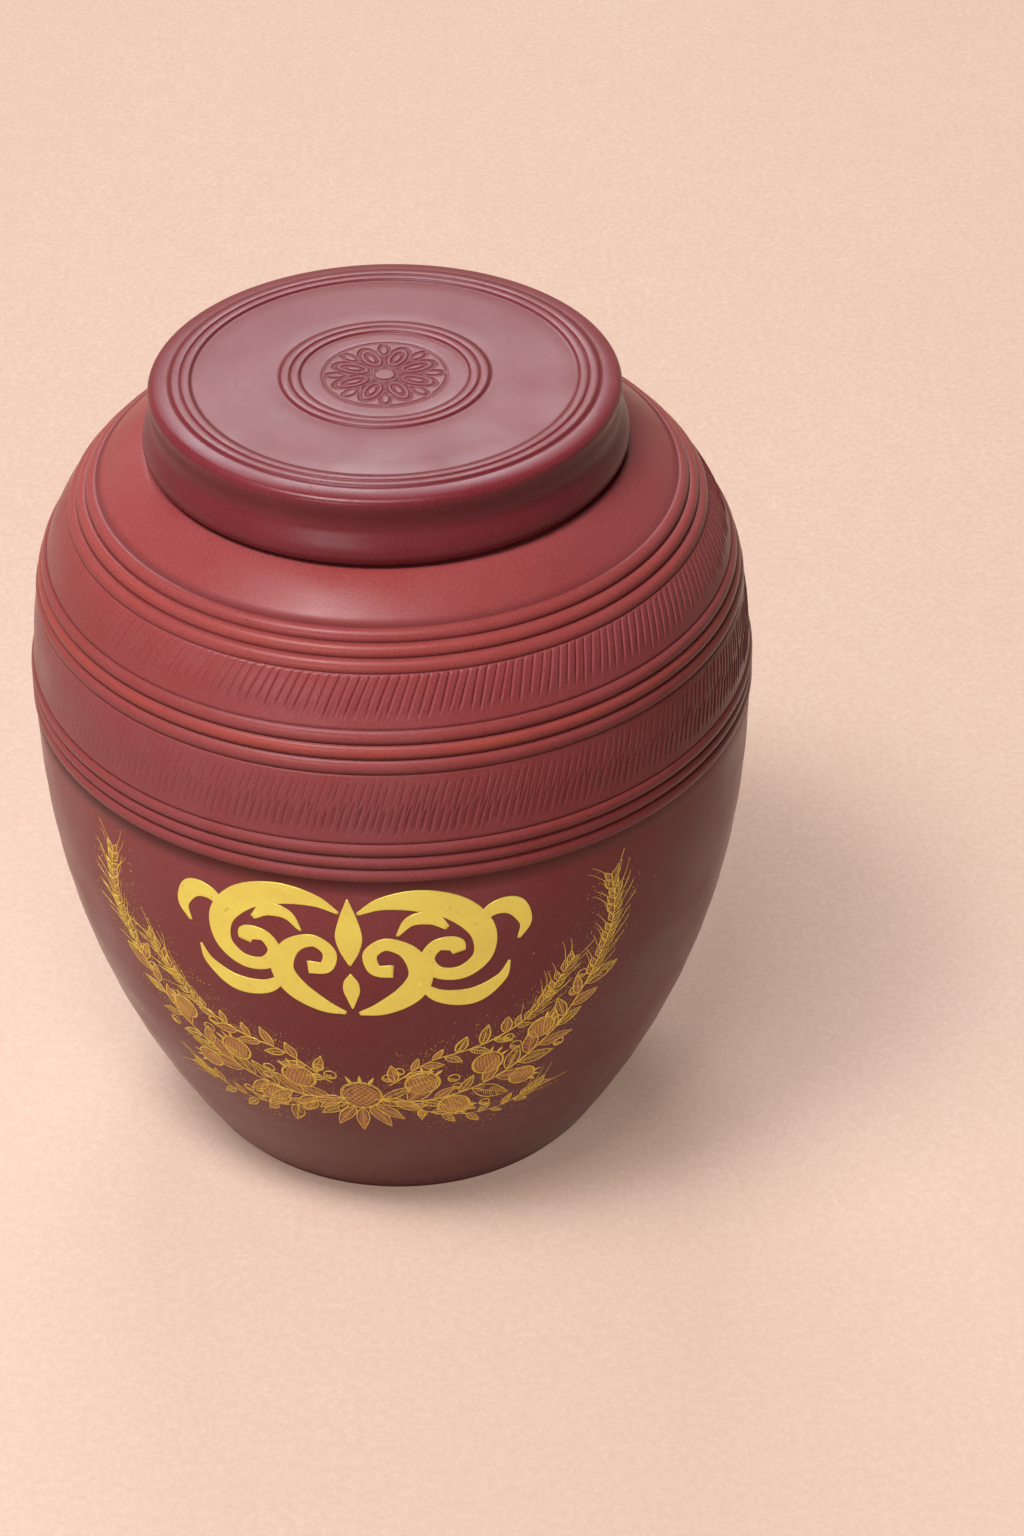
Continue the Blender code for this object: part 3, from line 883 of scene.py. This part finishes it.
class Gilding:
    """Gold strokes laid on the belly. A design's x runs round the jar and its y up the outline, in millimetres."""

    BOLD = np.array(((-1.0, -0.5), (-0.97, 0.9), (-0.88, 1.0), (0.0, 1.0), (0.88, 1.0), (0.97, 0.9), (1.0, -0.5)))
    FINE = np.array(((-1.0, -0.5), (0.0, 0.8), (1.0, -0.5)))

    # Millimetres between a stroke's samples. A hatch line is shorter than its step, and so stays straight.
    BOLD_STEP = 1.3
    FINE_STEP = 1.5
    HATCH_STEP = 100.0

    def __init__(self, distance):
        self.line = BodyLine(sizes())
        self.rise = sizes().gilding_rise
        self.azimuth = math.radians(DESIGN_AZIMUTH - 90.0)
        self.distance = distance
        self.reference = float(self.line.at(distance)[0])
        self.points = []
        self.faces = []

    def place(self, x, y, lift):
        """Points on the belly for a design's points."""
        angle = self.azimuth + x * MILLIMETRE / self.reference
        radius, height = self.line.at(self.distance - y * MILLIMETRE, lift)
        return np.column_stack((radius * np.cos(angle), radius * np.sin(angle), height))

    def stroke(self, handles, profile, step, level=1.0):
        """A stroke of the brush through handles of (x, y, width), as a closed solid."""
        path = smooth_path(np.array(handles, dtype=float), step)
        run = np.gradient(path[:, :2], axis=0)
        run /= np.maximum(np.linalg.norm(run, axis=1), 1e-9)[:, None]
        side = np.column_stack((run[:, 1], -run[:, 0]))
        rows = []
        for across, up in profile:
            spot = path[:, :2] + side * (path[:, 2:3] * 0.5 * across)
            rows.append(self.place(spot[:, 0], spot[:, 1], self.rise * up * (level if up > 0 else 1.0)))
        count = len(profile)
        first = len(self.points)
        last = first + (len(path) - 1) * count
        self.points += np.stack(rows, axis=1).reshape(-1, 3).tolist()
        for row in range(first, last, count):
            for k in range(count):
                a, b = row + k, row + (k + 1) % count
                self.faces.append((a, b, b + count, a + count))
        self.faces.append(tuple(first + k for k in range(count - 1, -1, -1)))
        self.faces.append(tuple(last + k for k in range(count)))

    def bold(self, handles, level=1.0):
        """A broad stroke."""
        self.stroke(handles, self.BOLD, self.BOLD_STEP, level)

    def fine(self, handles, origin=(0.0, 0.0), angle=0.0):
        """A thin line."""
        self.stroke(turned(handles, origin, angle), self.FINE, self.FINE_STEP)

    def hatch(self, handles, origin, angle):
        """A short straight line between two handles."""
        self.stroke(turned(handles, origin, angle), self.FINE, self.HATCH_STEP)

    def dot(self, x, y, size):
        """A small dot, as a flat three-sided point of paint."""
        first = len(self.points)
        for k in range(3):
            angle = x * 7.0 + y * 3.0 + k * TURN / 3
            corner = (x + size * math.cos(angle), y + size * math.sin(angle))
            self.points += self.place(*corner, -0.5 * self.rise).tolist()
        self.points += self.place(x, y, 0.7 * self.rise).tolist()
        self.faces += [(first, first + 2, first + 1)]
        self.faces += [(first + k, first + (k + 1) % 3, first + 3) for k in range(3)]

    def piece(self, name, material):
        """The strokes as one object."""
        return stand(name, self.points, self.faces, material)


# Bold scrolls of the right half, as handles of (x, y, width) in millimetres. The left half mirrors them.
SCROLLS = (
    ((4, 27, 1.5), (15, 33, 7.0), (31, 34, 12.0), (47, 28, 13.5), (58, 15, 12.0), (59, 0, 9.5),
     (50, -9, 8.0), (39, -8, 7.0), (34, 0, 6.5), (38, 8, 7.0), (46, 8, 8.5), (48, 3, 6.0)),
    ((3, -33, 2.0), (14, -29, 8.5), (26, -20, 12.5), (31, -8, 11.0), (26, 5, 8.5), (16, 10, 7.0),
     (9, 4, 6.5), (11, -5, 6.5), (19, -6, 7.5)),
    ((55, 18, 3.0), (64, 25, 7.5), (73, 24, 9.5), (78, 14, 6.0), (75, 5, 1.5)),
    ((30, -14, 3.0), (40, -23, 8.0), (55, -25, 10.0), (67, -17, 6.0), (71, -7, 1.0)),
    ((21, 15, 1.2), (27, 23, 5.5), (36, 24, 7.0), (43, 18, 2.5)),
)
DROPS = (
    ((0, -3, 1.0), (0, 5, 8.5), (0, 14, 12.0), (0, 24, 8.0), (0, 35, 0.6)),
    ((0, -8, 0.6), (0, -13, 6.5), (0, -19, 7.5), (0, -25, 4.0), (0, -30, 0.6)),
)


class WINEJAR_OT_scrolls(bpy.types.Operator):
    """Paints the bold gold scrolls on the belly's front"""

    bl_idname = "winejar.scrolls"
    bl_label = "Paint the Scrolls"

    def execute(self, context):
        gilding = Gilding(SCROLL_DISTANCE)
        for number, handles in enumerate(SCROLLS):
            for mirror in (1, -1):
                gilding.bold([(x * mirror, y, width) for x, y, width in handles], 1.0 + SCROLL_THICKENING * number)
        for handles in DROPS:
            gilding.bold(handles)
        tone = colours()
        gold = kept_finish("bright_gold_paint", gold_paint, tone.bright_gold, tone.body_clay, 0.0)
        piece = gilding.piece("gold_scrolls", gold)
        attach(piece, "jar")
        return {"FINISHED"}


def draw_leaf(gilding, rubbing, origin, angle, length, breadth, draw):
    """A hatched leaf: two edges, a midrib, close veins, and gold rubbed in between them."""
    bend = draw.uniform(-0.08, 0.08) * length
    if draw.random() < 0.6:
        fill = [(0.06 * length, 0, 0.2 * breadth), (0.4 * length, bend * 0.6, 0.72 * breadth),
                (0.68 * length, bend * 0.95, 0.5 * breadth), (0.94 * length, bend * 1.08, 0.1 * breadth)]
        rubbing.bold(turned(fill, origin, angle), RUBBED_LEVEL)
    for side in (1, -1):
        edge = [(0, 0, 0.6), (0.22 * length, side * breadth * 0.40 + bend * 0.3, 0.9),
                (0.52 * length, side * breadth * 0.5 + bend * 0.8, 1.0),
                (0.8 * length, side * breadth * 0.26 + bend * 1.05, 0.8), (length, bend * 1.1, 0.5)]
        gilding.fine(edge, origin, angle)
    gilding.fine([(0, 0, 0.9), (0.5 * length, bend * 0.8, 0.7), (length, bend * 1.1, 0.5)], origin, angle)
    veins = int(length / 1.25)
    for index in range(1, veins):
        share = index / veins
        half = breadth * 0.5 * math.sin(math.pi * share ** 0.85) * draw.uniform(0.60, 0.98)
        for side in (1, -1):
            if draw.random() < 0.12:
                continue
            start = (share * length, bend * 0.8 * math.sin(math.pi * share * 0.6), 0.55)
            end = (share * length + half * 0.75, start[1] + side * half, 0.35)
            gilding.hatch([start, end], origin, angle)


def draw_grain(gilding, origin, angle, length, draw):
    """One husk of an ear: an almond outline, two hatch lines and its awn."""
    breadth = length * 0.42
    for side in (1, -1):
        gilding.fine([(0, 0, 0.5), (0.4 * length, side * breadth * 0.5, 0.9), (length, 0, 0.5)], origin, angle)
        across = side * breadth * 0.14
        gilding.hatch([(0.15 * length, across, 0.4), (0.85 * length, across, 0.5)], origin, angle)
    awn = length * draw.uniform(0.9, 1.5)
    awn_line = [(length, 0, 0.5), (length + awn * 0.6, awn * 0.08, 0.4), (length + awn, awn * 0.2, 0.25)]
    gilding.fine(awn_line, origin, angle)


def draw_berry(gilding, centre, radius, draw):
    """A round berry: an outline and curved hatching on its shaded side."""
    gilding.fine(round_line(centre, radius, 0.8, 0.0, TURN, 13))
    for share in (0.2, 0.4, 0.6, 0.8):
        start = draw.uniform(2.6, 3.4)
        gilding.fine(round_line(centre, radius * share, 0.5, start, start + 2.6, 6))


def draw_fruit(gilding, rubbing, centre, radius, angle, draw):
    """A round crowned fruit: outline, crossed curves over rubbed gold, three points at its crown, and gold dots."""
    fill = ((-0.80, 0.5), (-0.35, 1.45), (0.25, 1.55), (0.80, 0.5))
    rubbing.bold(turned([(x * radius, 0.0, width * radius) for x, width in fill], centre, angle), RUBBED_LEVEL)
    for lift in (1.0, 0.93):
        outline = [(lift * radius * math.cos(a), lift * 0.94 * radius * math.sin(a), 0.7)
                   for a in np.linspace(0.0, TURN, 19)]
        gilding.fine(outline, centre, angle)
    for lean in (0.72, -0.72):
        for offset in np.arange(-0.8, 0.81, 0.2) + draw.uniform(-0.03, 0.03):
            half = 0.92 * math.sqrt(1.0 - offset * offset) * draw.uniform(0.8, 1.0)
            curve = ((-half, offset * 0.92, 0.35), (0.0, offset * 1.12, 0.55), (half, offset * 0.92, 0.35))
            curve = [(x * radius, min(0.93, max(-0.93, y)) * radius, width) for x, y, width in curve]
            gilding.fine(curve, centre, angle + lean)
    for swing in (-0.42, 0.0, 0.42):
        point = [(0.96 * radius, 0.0, 1.6), (1.18 * radius, 0.0, 2.2), (1.5 * radius, 0.0, 0.4)]
        gilding.fine(point, centre, angle + swing)
    for _ in range(int(radius * 9)):
        reach, around = radius * math.sqrt(draw.random()) * 0.95, draw.uniform(0.0, TURN)
        gilding.dot(centre[0] + reach * math.cos(around), centre[1] + reach * math.sin(around), draw.uniform(0.2, 0.42))


def draw_dust(gilding, path, count, spread, draw):
    """Fine gold dots scattered about a path, thicker near it."""
    for _ in range(count):
        x, y, _ = path[draw.randrange(len(path))]
        gilding.dot(x + draw.gauss(0.0, spread), y + draw.gauss(0.0, spread), draw.uniform(0.22, 0.48))


def draw_stem(gilding, rubbing, handles, spacing, leaf_length, leafy, draw):
    """One stem with leaves on both sides, ears of grain towards its end, and gold dust about it."""
    gilding.fine(handles)
    path = smooth_path(np.array(handles, dtype=float), 1.0)
    run = np.concatenate(((0.0,), np.cumsum(np.linalg.norm(np.diff(path[:, :2], axis=0), axis=1))))

    def spot(distance):
        return [np.interp(distance, run, path[:, k]) for k in (0, 1)]

    for number, place in enumerate(np.arange(spacing * 0.6, run[-1] * leafy, spacing)):
        (x, y), ahead = spot(place), spot(place + 2.0)
        heading = math.atan2(ahead[1] - y, ahead[0] - x)
        length = leaf_length * draw.uniform(0.60, 1.10) * (1.0 - 0.35 * (place / run[-1]))
        swing = (1 - 2 * (number % 2)) * draw.uniform(0.45, 1.05)
        breadth = length * draw.uniform(0.30, 0.46)
        draw_leaf(gilding, rubbing, (x, y), heading + swing, length, breadth, draw)
    for place in np.arange(run[-1] * leafy, run[-1], 5.0):
        (x, y), before = spot(place), spot(place - 2.0)
        heading = math.atan2(y - before[1], x - before[0])
        for side in (1, -1):
            draw_grain(gilding, (x, y), heading + side * draw.uniform(0.35, 0.75), draw.uniform(6.4, 8.4), draw)
    draw_dust(gilding, path, int(run[-1] * 7.0), 7.0, draw)


# Middle of the spray: its fan of leaves, which starts at an angle and stands round a foot, and the large fruit on it
FAN_LEAVES = 7
FAN_START = 198.0
FAN_SPACING = 24.0
FAN_FOOT = -44.0
FAN_RADIUS = 9.0
MIDDLE_FRUIT = ((0.0, -43.0), 11.0, math.pi / 2)
SPRAY_SEED = 7

# Stems of the spray's right half, as handles of (x, y, width) in millimetres from its middle, each with the
# spacing and length of its leaves and the share of it that carries leaves, before its ears of grain
STEMS = (
    (((6, -46, 1.3), (32, -48, 1.2), (62, -38, 1.1), (90, -14, 1.0), (108, 18, 0.9), (118, 50, 0.8), (116, 74, 0.6)),
     6.5, 23.0, 0.70),
    (((14, -34, 1.0), (34, -16, 0.9), (58, -8, 0.9), (80, 6, 0.8), (98, 34, 0.6)), 6.0, 15.0, 0.62),
    (((20, -50, 1.0), (42, -62, 0.9), (68, -64, 0.9), (92, -52, 0.7)), 6.5, 16.0, 0.85),
)

# Berries of the right half as (x, y, radius), and its fruits with the angle of their crowns too
BERRIES = (
    (14, -28, 3.0), (19, -23, 2.4), (45, -31, 2.8), (47, -38, 2.4), (74, -14, 2.8), (70, -7, 2.4),
    (101, 12, 2.8), (104, 22, 2.4), (62, -56, 2.6), (30, -60, 2.4), (97, -22, 2.6), (88, 16, 2.2),
)
FRUITS = (
    (30, -33, 9.0, 1.2), (61, -23, 8.0, 1.0), (86, -6, 7.0, 0.9), (46, -54, 8.5, -0.6), (80, -40, 7.0, -0.3),
)


class WINEJAR_OT_spray(bpy.types.Operator):
    """Draws the fine gold spray of leaves, fruits, berries and ears of grain under and beside the scrolls"""

    bl_idname = "winejar.spray"
    bl_label = "Draw the Spray"

    def execute(self, context):
        tone = colours()
        gilding, rubbing = Gilding(SPRAY_DISTANCE), Gilding(SPRAY_DISTANCE)
        draw = random.Random(SPRAY_SEED)
        for index in range(FAN_LEAVES):
            angle = math.radians(FAN_START + FAN_SPACING * index)
            length = 17.0 + 5.0 * abs(math.sin(angle))
            foot = (FAN_RADIUS * math.cos(angle), FAN_FOOT + FAN_RADIUS * math.sin(angle))
            draw_leaf(gilding, rubbing, foot, angle, length, 6.5, draw)
        draw_fruit(gilding, rubbing, *MIDDLE_FRUIT, draw)
        for mirror in (1, -1):
            for stem, *leaves in STEMS:
                draw_stem(gilding, rubbing, [(x * mirror, y, width) for x, y, width in stem], *leaves, draw)
            for x, y, radius in BERRIES:
                draw_berry(gilding, (x * mirror, y), radius, draw)
            for x, y, radius, angle in FRUITS:
                draw_fruit(gilding, rubbing, (x * mirror, y), radius, angle if mirror > 0 else math.pi - angle, draw)
        gold = kept_finish("line_gold_paint", gold_paint, tone.line_gold, tone.body_clay, 0.04)
        piece = gilding.piece("gold_spray", gold)
        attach(piece, "jar")
        rubbed = kept_finish("rubbed_gold_paint", gold_paint, tone.line_gold, tone.body_clay, 0.52, 1400.0, 0.30)
        fill = rubbing.piece("gold_rubbing", rubbed)
        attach(fill, "jar")
        return {"FINISHED"}


class StageSettings(bpy.types.PropertyGroup):
    """The studio: lamps and camera."""

    key_power: power_property("Key lamp", "Power of the lamp above the left", 24.0)
    top_power: power_property("Top lamp", "Power of the long lamp overhead", 26.5)
    front_power: power_property("Front lamp", "Power of the low lamp at the front", 9.0)
    back_power: power_property("Back lamp", "Power of the lamp behind", 22.5)
    room_light: bpy.props.FloatProperty(
        name="Room light", description="Strength of the even light around", default=0.01, min=0.0
    )
    lens: bpy.props.FloatProperty(
        name="Lens", description="Focal length of the camera in millimetres", default=91.92, min=1.0
    )


CAMERA_PLACE = Vector((0.0, -1.5038, 1.2597))
CAMERA_AIM = Vector((0.0547, 0.0, 0.1738))
CAMERA_ROLL = math.radians(-0.455)
LAMP_AIM = Vector((0.0, 0.0, 0.25))
PALE_LIGHT = (1.0, 0.99, 1.0)
COOL_LIGHT = (0.92, 0.95, 1.0)

# The paper lies flat out to its reach, bends up and ends at its top
PAPER_REACH = 3.6
PAPER_BEND = 1.0
PAPER_TOP = 3.4
PAPER_RINGS = 24


def aim(thing, place, target, roll=0.0):
    """Puts a lamp or a camera into the scene at a place, looking at a target."""
    bpy.context.scene.collection.objects.link(thing)
    ahead = (target - place).normalized()
    right = ahead.cross(Vector((0.0, 0.0, 1.0))).normalized()
    up = right.cross(ahead)
    facing = Matrix((right, up, -ahead)).transposed() @ Matrix.Rotation(roll, 3, "Z")
    thing.matrix_world = Matrix.Translation(place) @ facing.to_4x4()


def hang_lamp(name, place, size, power, colour):
    """A large rectangular lamp."""
    lamp = bpy.data.lights.new(name, "AREA")
    lamp.shape = "RECTANGLE"
    lamp.size, lamp.size_y = size
    lamp.energy = power
    lamp.color = colour
    aim(bpy.data.objects.new(name, lamp), Vector(place), LAMP_AIM)


def light_room(scene, strength):
    """Faint even light from all round."""
    world = bpy.data.worlds.new("room")
    world.use_nodes = True
    scene.world = world
    background = world.node_tree.nodes["Background"]
    background.inputs["Color"].default_value = (1.0, 0.93, 0.88, 1.0)
    background.inputs["Strength"].default_value = strength


def set_camera(scene, lens):
    """The photograph's view."""
    camera = bpy.data.cameras.new("camera")
    camera.lens = lens
    camera.sensor_width = 36.0
    camera.sensor_fit = "AUTO"
    camera.clip_start = 0.05
    camera.clip_end = 30.0
    scene.camera = bpy.data.objects.new("camera", camera)
    aim(scene.camera, CAMERA_PLACE, CAMERA_AIM, CAMERA_ROLL)


class WINEJAR_OT_stage(bpy.types.Operator):
    """Lays the paper, which sweeps up all round far away, and sets the lamps, the room light and the camera"""

    bl_idname = "winejar.stage"
    bl_label = "Set the Stage"

    def execute(self, context):
        settings = context.scene.wine_jar_stage
        section = flat([PAPER_REACH * (ring / PAPER_RINGS) ** 1.5 for ring in range(1, PAPER_RINGS + 1)], 0.0)
        section += arc((PAPER_REACH, PAPER_BEND), PAPER_BEND, -80, 0, 8)
        thrown = Thrown()
        thrown.pole(0.0)
        thrown.rings(section + [(PAPER_REACH + PAPER_BEND, PAPER_TOP, 0.0)], FEW_COLUMNS)
        floor = thrown.piece("studio_paper", kept_finish("backdrop_paper", backdrop_paper, colours().paper))
        hang_lamp("key_lamp", (-0.79, -0.61, 2.21), (0.75, 0.75), settings.key_power, PALE_LIGHT)
        hang_lamp("top_lamp", (-0.39, -0.84, 2.24), (1.1, 0.4), settings.top_power, PALE_LIGHT)
        hang_lamp("front_lamp", (-0.94, -1.84, 1.00), (0.9, 0.3), settings.front_power, PALE_LIGHT)
        hang_lamp("back_lamp", (-0.1, 1.80, 1.85), (1.1, 0.6), settings.back_power, COOL_LIGHT)
        light_room(context.scene, settings.room_light)
        set_camera(context.scene, settings.lens)
        context.scene.view_settings.view_transform = "Standard"
        return {"FINISHED"}


class WINEJAR_PT_panel(bpy.types.Panel):
    """The jar's sizes, colours and pieces in the sidebar"""

    bl_idname = "WINEJAR_PT_panel"
    bl_label = "Wine Jar"
    bl_space_type = "VIEW_3D"
    bl_region_type = "UI"
    bl_category = "Wine Jar"

    def draw(self, context):
        scene = context.scene
        for group in (scene.wine_jar_sizes, scene.wine_jar_colours, scene.wine_jar_stage):
            box = self.layout.box()
            for name in group.bl_rna.properties.keys():
                if name not in ("rna_type", "name"):
                    box.prop(group, name)
        for operator in OPERATORS:
            self.layout.operator(operator.bl_idname)


OPERATORS = (
    WINEJAR_OT_body, WINEJAR_OT_cap, WINEJAR_OT_stopper, WINEJAR_OT_seal,
    WINEJAR_OT_scrolls, WINEJAR_OT_spray, WINEJAR_OT_stage,
)
CLASSES = (JarSizes, JarColours, StageSettings) + OPERATORS + (WINEJAR_PT_panel,)


def register():
    for kind in CLASSES:
        bpy.utils.register_class(kind)
    bpy.types.Scene.wine_jar_sizes = bpy.props.PointerProperty(type=JarSizes)
    bpy.types.Scene.wine_jar_colours = bpy.props.PointerProperty(type=JarColours)
    bpy.types.Scene.wine_jar_stage = bpy.props.PointerProperty(type=StageSettings)


def unregister():
    del bpy.types.Scene.wine_jar_stage
    del bpy.types.Scene.wine_jar_colours
    del bpy.types.Scene.wine_jar_sizes
    for kind in reversed(CLASSES):
        bpy.utils.unregister_class(kind)


def main():
    """Makes every piece and the stage."""
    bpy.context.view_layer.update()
    register()
    bpy.ops.winejar.body()
    bpy.ops.winejar.cap()
    bpy.ops.winejar.stopper()
    bpy.ops.winejar.seal()
    bpy.ops.winejar.scrolls()
    bpy.ops.winejar.spray()
    bpy.ops.winejar.stage()


if __name__ == "__main__":
    main()
